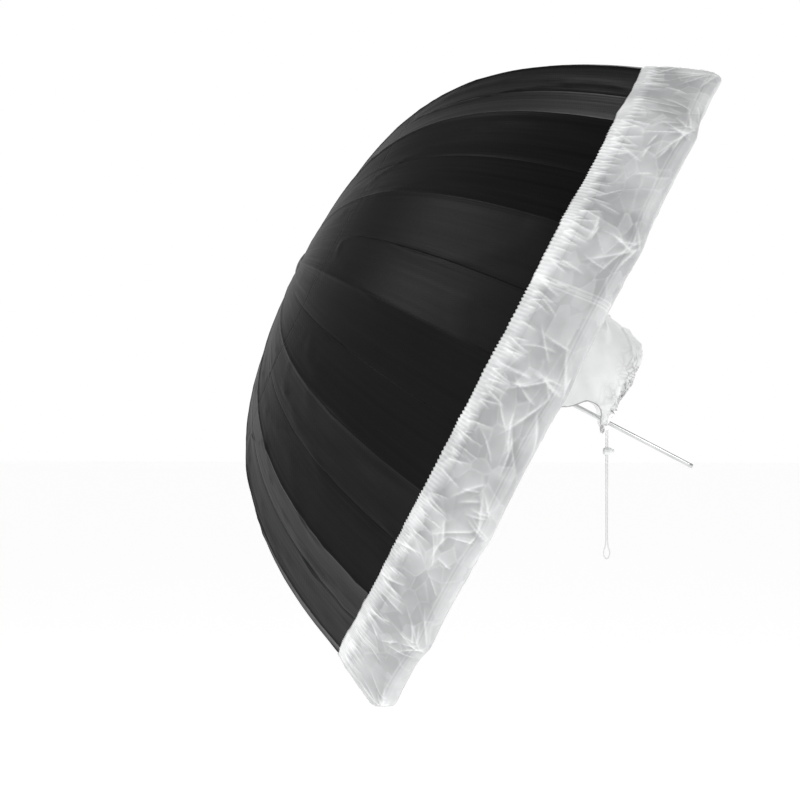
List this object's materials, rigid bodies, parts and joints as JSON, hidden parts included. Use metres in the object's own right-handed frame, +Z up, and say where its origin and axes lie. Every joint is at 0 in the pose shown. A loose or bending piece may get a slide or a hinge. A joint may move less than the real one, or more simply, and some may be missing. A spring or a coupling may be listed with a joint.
{
  "type": "umbrella reflector",
  "caption": "Deep parabolic umbrella reflector: folding rod frame, sliding runner, black canopy, and a white diffuser cover with lamp hood, draw-cord and toggle.",
  "frame": {"origin": "the point on the shaft's centre line where a stand bracket clamps it, 68 mm in front of the face plane", "axes": "+Z up as it hangs in use; +Y across the umbrella; the shaft lies in the XZ plane and points along +X, pitched 27.5 degrees below the level, with the open face towards its free end"},
  "size_m": [0.8576, 1.2962, 1.1762],
  "materials": {
    "shaft_chrome": "bright polished steel tube",
    "moulded_black": "satin moulded nylon",
    "rib_black": "smooth black fibreglass rod",
    "stretcher_black": "satin black paint",
    "button_steel": "brushed steel pawl",
    "canopy_black": "satin black woven polyester",
    "cover_white": "thin translucent white nylon",
    "cord_white": "braided soft white cord",
    "toggle_grey": "moulded pale plastic"
  },
  "bodies": {
    "shaft_frame": {"shaft": "shaft_chrome", "shaft_end_cap": "shaft_chrome", "crown": "moulded_black", "crown_cap": "moulded_black", "canopy": "canopy_black"},
    "runner": {"runner": "moulded_black"},
    "runner_button": {"runner_button": "button_steel"},
    "rib_inner_01": {"rib_inner_01": "rib_black"},
    "rib_outer_01": {"rib_outer_01": "rib_black"},
    "stretcher_01": {"stretcher_01": "stretcher_black"},
    "rib_inner_02": {"rib_inner_02": "rib_black"},
    "rib_outer_02": {"rib_outer_02": "rib_black"},
    "stretcher_02": {"stretcher_02": "stretcher_black"},
    "rib_inner_03": {"rib_inner_03": "rib_black"},
    "rib_outer_03": {"rib_outer_03": "rib_black"},
    "stretcher_03": {"stretcher_03": "stretcher_black"},
    "rib_inner_04": {"rib_inner_04": "rib_black"},
    "rib_outer_04": {"rib_outer_04": "rib_black"},
    "stretcher_04": {"stretcher_04": "stretcher_black"},
    "rib_inner_05": {"rib_inner_05": "rib_black"},
    "rib_outer_05": {"rib_outer_05": "rib_black"},
    "stretcher_05": {"stretcher_05": "stretcher_black"},
    "rib_inner_06": {"rib_inner_06": "rib_black"},
    "rib_outer_06": {"rib_outer_06": "rib_black"},
    "stretcher_06": {"stretcher_06": "stretcher_black"},
    "rib_inner_07": {"rib_inner_07": "rib_black"},
    "rib_outer_07": {"rib_outer_07": "rib_black"},
    "stretcher_07": {"stretcher_07": "stretcher_black"},
    "rib_inner_08": {"rib_inner_08": "rib_black"},
    "rib_outer_08": {"rib_outer_08": "rib_black"},
    "stretcher_08": {"stretcher_08": "stretcher_black"},
    "rib_inner_09": {"rib_inner_09": "rib_black"},
    "rib_outer_09": {"rib_outer_09": "rib_black"},
    "stretcher_09": {"stretcher_09": "stretcher_black"},
    "rib_inner_10": {"rib_inner_10": "rib_black"},
    "rib_outer_10": {"rib_outer_10": "rib_black"},
    "stretcher_10": {"stretcher_10": "stretcher_black"},
    "rib_inner_11": {"rib_inner_11": "rib_black"},
    "rib_outer_11": {"rib_outer_11": "rib_black"},
    "stretcher_11": {"stretcher_11": "stretcher_black"},
    "rib_inner_12": {"rib_inner_12": "rib_black"},
    "rib_outer_12": {"rib_outer_12": "rib_black"},
    "stretcher_12": {"stretcher_12": "stretcher_black"},
    "rib_inner_13": {"rib_inner_13": "rib_black"},
    "rib_outer_13": {"rib_outer_13": "rib_black"},
    "stretcher_13": {"stretcher_13": "stretcher_black"},
    "rib_inner_14": {"rib_inner_14": "rib_black"},
    "rib_outer_14": {"rib_outer_14": "rib_black"},
    "stretcher_14": {"stretcher_14": "stretcher_black"},
    "rib_inner_15": {"rib_inner_15": "rib_black"},
    "rib_outer_15": {"rib_outer_15": "rib_black"},
    "stretcher_15": {"stretcher_15": "stretcher_black"},
    "rib_inner_16": {"rib_inner_16": "rib_black"},
    "rib_outer_16": {"rib_outer_16": "rib_black"},
    "stretcher_16": {"stretcher_16": "stretcher_black"},
    "cover": {"cover": "cover_white", "cover_hood": "cover_white", "drawcord": "cord_white"},
    "toggle": {"toggle": "toggle_grey"},
    "toggle_button": {"toggle_button": "toggle_grey"}
  },
  "joints": [
    {"name": "runner_slide", "type": "slide", "parent": "shaft_frame", "child": "runner", "axis": [0.887, 0, -0.4617], "range_m": [0, 0.4773], "deforming": ["canopy"]},
    {"name": "runner_button_press", "type": "slide", "parent": "runner", "child": "runner_button", "axis": [-0.4617, 0, -0.887], "range_m": [0, 0.0012], "stiffness_N_per_m": 400},
    {"name": "rib_fold_01", "type": "hinge", "parent": "shaft_frame", "child": "rib_inner_01", "pos_m": [-0.50796, 0, 0.28247], "axis": [0, 1, 0], "range_deg": [0, 76.19]},
    {"name": "rib_bend_01", "type": "hinge", "parent": "rib_inner_01", "child": "rib_outer_01", "pos_m": [-0.28795, 0, 0.54856], "axis": [0, 1, 0], "range_deg": [-43.23, 0]},
    {"name": "stretcher_fold_01", "type": "hinge", "parent": "rib_inner_01", "child": "stretcher_01", "pos_m": [-0.2842, 0, 0.54325], "axis": [0, 1, 0], "range_deg": [-139.22, 0]},
    {"name": "rib_fold_02", "type": "hinge", "parent": "shaft_frame", "child": "rib_inner_02", "pos_m": [-0.50853, -0.00612, 0.28139], "axis": [0.1767, 0.9239, 0.3394], "range_deg": [0, 76.19]},
    {"name": "rib_bend_02", "type": "hinge", "parent": "rib_inner_02", "child": "rib_outer_02", "pos_m": [-0.30038, -0.13532, 0.52468], "axis": [0.1767, 0.9239, 0.3394], "range_deg": [-43.23, 0]},
    {"name": "stretcher_fold_02", "type": "hinge", "parent": "rib_inner_02", "child": "stretcher_02", "pos_m": [-0.29652, -0.13418, 0.51957], "axis": [0.1767, 0.9239, 0.3394], "range_deg": [-139.22, 0]},
    {"name": "rib_fold_03", "type": "hinge", "parent": "shaft_frame", "child": "rib_inner_03", "pos_m": [-0.51013, -0.01131, 0.27831], "axis": [0.3265, 0.7071, 0.6272], "range_deg": [0, 76.19]},
    {"name": "rib_bend_03", "type": "hinge", "parent": "rib_inner_03", "child": "rib_outer_03", "pos_m": [-0.33577, -0.25004, 0.45669], "axis": [0.3265, 0.7071, 0.6272], "range_deg": [-43.23, 0]},
    {"name": "stretcher_fold_03", "type": "hinge", "parent": "rib_inner_03", "child": "stretcher_03", "pos_m": [-0.33162, -0.24794, 0.45215], "axis": [0.3265, 0.7071, 0.6272], "range_deg": [-139.22, 0]},
    {"name": "rib_fold_04", "type": "hinge", "parent": "shaft_frame", "child": "rib_inner_04", "pos_m": [-0.51253, -0.01478, 0.27371], "axis": [0.4266, 0.3827, 0.8195], "range_deg": [0, 76.19]},
    {"name": "rib_bend_04", "type": "hinge", "parent": "rib_inner_04", "child": "rib_outer_04", "pos_m": [-0.38874, -0.3267, 0.35493], "axis": [0.4266, 0.3827, 0.8195], "range_deg": [-43.23, 0]},
    {"name": "stretcher_fold_04", "type": "hinge", "parent": "rib_inner_04", "child": "stretcher_04", "pos_m": [-0.38415, -0.32395, 0.35125], "axis": [0.4266, 0.3827, 0.8195], "range_deg": [-139.22, 0]},
    {"name": "rib_fold_05", "type": "hinge", "parent": "shaft_frame", "child": "rib_inner_05", "pos_m": [-0.51535, -0.016, 0.26828], "axis": [0.4617, 0, 0.887], "range_deg": [0, 76.19]},
    {"name": "rib_bend_05", "type": "hinge", "parent": "rib_inner_05", "child": "rib_outer_05", "pos_m": [-0.45123, -0.35362, 0.23489], "axis": [0.4617, 0, 0.887], "range_deg": [-43.23, 0]},
    {"name": "stretcher_fold_05", "type": "hinge", "parent": "rib_inner_05", "child": "stretcher_05", "pos_m": [-0.4461, -0.35064, 0.23223], "axis": [0.4617, 0, 0.887], "range_deg": [-139.22, 0]},
    {"name": "rib_fold_06", "type": "hinge", "parent": "shaft_frame", "child": "rib_inner_06", "pos_m": [-0.51818, -0.01478, 0.26284], "axis": [0.4266, -0.3827, 0.8195], "range_deg": [0, 76.19]},
    {"name": "rib_bend_06", "type": "hinge", "parent": "rib_inner_06", "child": "rib_outer_06", "pos_m": [-0.51371, -0.3267, 0.11486], "axis": [0.4266, -0.3827, 0.8195], "range_deg": [-43.23, 0]},
    {"name": "stretcher_fold_06", "type": "hinge", "parent": "rib_inner_06", "child": "stretcher_06", "pos_m": [-0.50806, -0.32395, 0.11321], "axis": [0.4266, -0.3827, 0.8195], "range_deg": [-139.22, 0]},
    {"name": "rib_fold_07", "type": "hinge", "parent": "shaft_frame", "child": "rib_inner_07", "pos_m": [-0.52058, -0.01131, 0.25824], "axis": [0.3265, -0.7071, 0.6272], "range_deg": [0, 76.19]},
    {"name": "rib_bend_07", "type": "hinge", "parent": "rib_inner_07", "child": "rib_outer_07", "pos_m": [-0.56669, -0.25004, 0.0131], "axis": [0.3265, -0.7071, 0.6272], "range_deg": [-43.23, 0]},
    {"name": "stretcher_fold_07", "type": "hinge", "parent": "rib_inner_07", "child": "stretcher_07", "pos_m": [-0.56059, -0.24794, 0.0123], "axis": [0.3265, -0.7071, 0.6272], "range_deg": [-139.22, 0]},
    {"name": "rib_fold_08", "type": "hinge", "parent": "shaft_frame", "child": "rib_inner_08", "pos_m": [-0.52218, -0.00612, 0.25516], "axis": [0.1767, -0.9239, 0.3394], "range_deg": [0, 76.19]},
    {"name": "rib_bend_08", "type": "hinge", "parent": "rib_inner_08", "child": "rib_outer_08", "pos_m": [-0.60208, -0.13532, -0.05489], "axis": [0.1767, -0.9239, 0.3394], "range_deg": [-43.23, 0]},
    {"name": "stretcher_fold_08", "type": "hinge", "parent": "rib_inner_08", "child": "stretcher_08", "pos_m": [-0.59569, -0.13418, -0.05512], "axis": [0.1767, -0.9239, 0.3394], "range_deg": [-139.22, 0]},
    {"name": "rib_fold_09", "type": "hinge", "parent": "shaft_frame", "child": "rib_inner_09", "pos_m": [-0.52274, 0, 0.25408], "axis": [0, -1, 0], "range_deg": [0, 76.19]},
    {"name": "rib_bend_09", "type": "hinge", "parent": "rib_inner_09", "child": "rib_outer_09", "pos_m": [-0.61451, 0, -0.07877], "axis": [0, -1, 0], "range_deg": [-43.23, 0]},
    {"name": "stretcher_fold_09", "type": "hinge", "parent": "rib_inner_09", "child": "stretcher_09", "pos_m": [-0.60801, 0, -0.07879], "axis": [0, -1, 0], "range_deg": [-139.22, 0]},
    {"name": "rib_fold_10", "type": "hinge", "parent": "shaft_frame", "child": "rib_inner_10", "pos_m": [-0.52218, 0.00612, 0.25516], "axis": [-0.1767, -0.9239, -0.3394], "range_deg": [0, 76.19]},
    {"name": "rib_bend_10", "type": "hinge", "parent": "rib_inner_10", "child": "rib_outer_10", "pos_m": [-0.60208, 0.13532, -0.05489], "axis": [-0.1767, -0.9239, -0.3394], "range_deg": [-43.23, 0]},
    {"name": "stretcher_fold_10", "type": "hinge", "parent": "rib_inner_10", "child": "stretcher_10", "pos_m": [-0.59569, 0.13418, -0.05512], "axis": [-0.1767, -0.9239, -0.3394], "range_deg": [-139.22, 0]},
    {"name": "rib_fold_11", "type": "hinge", "parent": "shaft_frame", "child": "rib_inner_11", "pos_m": [-0.52058, 0.01131, 0.25824], "axis": [-0.3265, -0.7071, -0.6272], "range_deg": [0, 76.19]},
    {"name": "rib_bend_11", "type": "hinge", "parent": "rib_inner_11", "child": "rib_outer_11", "pos_m": [-0.56669, 0.25004, 0.0131], "axis": [-0.3265, -0.7071, -0.6272], "range_deg": [-43.23, 0]},
    {"name": "stretcher_fold_11", "type": "hinge", "parent": "rib_inner_11", "child": "stretcher_11", "pos_m": [-0.56059, 0.24794, 0.0123], "axis": [-0.3265, -0.7071, -0.6272], "range_deg": [-139.22, 0]},
    {"name": "rib_fold_12", "type": "hinge", "parent": "shaft_frame", "child": "rib_inner_12", "pos_m": [-0.51818, 0.01478, 0.26284], "axis": [-0.4266, -0.3827, -0.8195], "range_deg": [0, 76.19]},
    {"name": "rib_bend_12", "type": "hinge", "parent": "rib_inner_12", "child": "rib_outer_12", "pos_m": [-0.51371, 0.3267, 0.11486], "axis": [-0.4266, -0.3827, -0.8195], "range_deg": [-43.23, 0]},
    {"name": "stretcher_fold_12", "type": "hinge", "parent": "rib_inner_12", "child": "stretcher_12", "pos_m": [-0.50806, 0.32395, 0.11321], "axis": [-0.4266, -0.3827, -0.8195], "range_deg": [-139.22, 0]},
    {"name": "rib_fold_13", "type": "hinge", "parent": "shaft_frame", "child": "rib_inner_13", "pos_m": [-0.51535, 0.016, 0.26828], "axis": [-0.4617, 0, -0.887], "range_deg": [0, 76.19]},
    {"name": "rib_bend_13", "type": "hinge", "parent": "rib_inner_13", "child": "rib_outer_13", "pos_m": [-0.45123, 0.35362, 0.23489], "axis": [-0.4617, 0, -0.887], "range_deg": [-43.23, 0]},
    {"name": "stretcher_fold_13", "type": "hinge", "parent": "rib_inner_13", "child": "stretcher_13", "pos_m": [-0.4461, 0.35064, 0.23223], "axis": [-0.4617, 0, -0.887], "range_deg": [-139.22, 0]},
    {"name": "rib_fold_14", "type": "hinge", "parent": "shaft_frame", "child": "rib_inner_14", "pos_m": [-0.51253, 0.01478, 0.27371], "axis": [-0.4266, 0.3827, -0.8195], "range_deg": [0, 76.19]},
    {"name": "rib_bend_14", "type": "hinge", "parent": "rib_inner_14", "child": "rib_outer_14", "pos_m": [-0.38874, 0.3267, 0.35493], "axis": [-0.4266, 0.3827, -0.8195], "range_deg": [-43.23, 0]},
    {"name": "stretcher_fold_14", "type": "hinge", "parent": "rib_inner_14", "child": "stretcher_14", "pos_m": [-0.38415, 0.32395, 0.35125], "axis": [-0.4266, 0.3827, -0.8195], "range_deg": [-139.22, 0]},
    {"name": "rib_fold_15", "type": "hinge", "parent": "shaft_frame", "child": "rib_inner_15", "pos_m": [-0.51013, 0.01131, 0.27831], "axis": [-0.3265, 0.7071, -0.6272], "range_deg": [0, 76.19]},
    {"name": "rib_bend_15", "type": "hinge", "parent": "rib_inner_15", "child": "rib_outer_15", "pos_m": [-0.33577, 0.25004, 0.45669], "axis": [-0.3265, 0.7071, -0.6272], "range_deg": [-43.23, 0]},
    {"name": "stretcher_fold_15", "type": "hinge", "parent": "rib_inner_15", "child": "stretcher_15", "pos_m": [-0.33162, 0.24794, 0.45215], "axis": [-0.3265, 0.7071, -0.6272], "range_deg": [-139.22, 0]},
    {"name": "rib_fold_16", "type": "hinge", "parent": "shaft_frame", "child": "rib_inner_16", "pos_m": [-0.50853, 0.00612, 0.28139], "axis": [-0.1767, 0.9239, -0.3394], "range_deg": [0, 76.19]},
    {"name": "rib_bend_16", "type": "hinge", "parent": "rib_inner_16", "child": "rib_outer_16", "pos_m": [-0.30038, 0.13532, 0.52468], "axis": [-0.1767, 0.9239, -0.3394], "range_deg": [-43.23, 0]},
    {"name": "stretcher_fold_16", "type": "hinge", "parent": "rib_inner_16", "child": "stretcher_16", "pos_m": [-0.29652, 0.13418, 0.51957], "axis": [-0.1767, 0.9239, -0.3394], "range_deg": [-139.22, 0]},
    {"name": "cover_pull_off", "type": "slide", "parent": "shaft_frame", "child": "cover", "axis": [0.887, 0, -0.4617], "range_m": [0, 0.66]},
    {"name": "toggle_slide", "type": "slide", "parent": "cover", "child": "toggle", "axis": [0, 0, 1], "range_m": [-0.14, 0.02]},
    {"name": "toggle_press", "type": "slide", "parent": "toggle", "child": "toggle_button", "axis": [-1, 0, 0], "range_m": [0, 0.002], "stiffness_N_per_m": 300}
  ],
  "couplings": [
    {"joint": "rib_fold_01", "follows": "runner_slide", "rad_per_m": 2.7823},
    {"joint": "rib_bend_01", "follows": "runner_slide", "rad_per_m": -1.5773},
    {"joint": "stretcher_fold_01", "follows": "runner_slide", "rad_per_m": -5.0872},
    {"joint": "rib_fold_02", "follows": "runner_slide", "rad_per_m": 2.7823},
    {"joint": "rib_bend_02", "follows": "runner_slide", "rad_per_m": -1.5773},
    {"joint": "stretcher_fold_02", "follows": "runner_slide", "rad_per_m": -5.0872},
    {"joint": "rib_fold_03", "follows": "runner_slide", "rad_per_m": 2.7823},
    {"joint": "rib_bend_03", "follows": "runner_slide", "rad_per_m": -1.5773},
    {"joint": "stretcher_fold_03", "follows": "runner_slide", "rad_per_m": -5.0872},
    {"joint": "rib_fold_04", "follows": "runner_slide", "rad_per_m": 2.7823},
    {"joint": "rib_bend_04", "follows": "runner_slide", "rad_per_m": -1.5773},
    {"joint": "stretcher_fold_04", "follows": "runner_slide", "rad_per_m": -5.0872},
    {"joint": "rib_fold_05", "follows": "runner_slide", "rad_per_m": 2.7823},
    {"joint": "rib_bend_05", "follows": "runner_slide", "rad_per_m": -1.5773},
    {"joint": "stretcher_fold_05", "follows": "runner_slide", "rad_per_m": -5.0872},
    {"joint": "rib_fold_06", "follows": "runner_slide", "rad_per_m": 2.7823},
    {"joint": "rib_bend_06", "follows": "runner_slide", "rad_per_m": -1.5773},
    {"joint": "stretcher_fold_06", "follows": "runner_slide", "rad_per_m": -5.0872},
    {"joint": "rib_fold_07", "follows": "runner_slide", "rad_per_m": 2.7823},
    {"joint": "rib_bend_07", "follows": "runner_slide", "rad_per_m": -1.5773},
    {"joint": "stretcher_fold_07", "follows": "runner_slide", "rad_per_m": -5.0872},
    {"joint": "rib_fold_08", "follows": "runner_slide", "rad_per_m": 2.7823},
    {"joint": "rib_bend_08", "follows": "runner_slide", "rad_per_m": -1.5773},
    {"joint": "stretcher_fold_08", "follows": "runner_slide", "rad_per_m": -5.0872},
    {"joint": "rib_fold_09", "follows": "runner_slide", "rad_per_m": 2.7823},
    {"joint": "rib_bend_09", "follows": "runner_slide", "rad_per_m": -1.5773},
    {"joint": "stretcher_fold_09", "follows": "runner_slide", "rad_per_m": -5.0872},
    {"joint": "rib_fold_10", "follows": "runner_slide", "rad_per_m": 2.7823},
    {"joint": "rib_bend_10", "follows": "runner_slide", "rad_per_m": -1.5773},
    {"joint": "stretcher_fold_10", "follows": "runner_slide", "rad_per_m": -5.0872},
    {"joint": "rib_fold_11", "follows": "runner_slide", "rad_per_m": 2.7823},
    {"joint": "rib_bend_11", "follows": "runner_slide", "rad_per_m": -1.5773},
    {"joint": "stretcher_fold_11", "follows": "runner_slide", "rad_per_m": -5.0872},
    {"joint": "rib_fold_12", "follows": "runner_slide", "rad_per_m": 2.7823},
    {"joint": "rib_bend_12", "follows": "runner_slide", "rad_per_m": -1.5773},
    {"joint": "stretcher_fold_12", "follows": "runner_slide", "rad_per_m": -5.0872},
    {"joint": "rib_fold_13", "follows": "runner_slide", "rad_per_m": 2.7823},
    {"joint": "rib_bend_13", "follows": "runner_slide", "rad_per_m": -1.5773},
    {"joint": "stretcher_fold_13", "follows": "runner_slide", "rad_per_m": -5.0872},
    {"joint": "rib_fold_14", "follows": "runner_slide", "rad_per_m": 2.7823},
    {"joint": "rib_bend_14", "follows": "runner_slide", "rad_per_m": -1.5773},
    {"joint": "stretcher_fold_14", "follows": "runner_slide", "rad_per_m": -5.0872},
    {"joint": "rib_fold_15", "follows": "runner_slide", "rad_per_m": 2.7823},
    {"joint": "rib_bend_15", "follows": "runner_slide", "rad_per_m": -1.5773},
    {"joint": "stretcher_fold_15", "follows": "runner_slide", "rad_per_m": -5.0872},
    {"joint": "rib_fold_16", "follows": "runner_slide", "rad_per_m": 2.7823},
    {"joint": "rib_bend_16", "follows": "runner_slide", "rad_per_m": -1.5773},
    {"joint": "stretcher_fold_16", "follows": "runner_slide", "rad_per_m": -5.0872},
    {"joint": "cover_pull_off", "follows": "runner_slide", "ratio": 1.3618}
  ]
}
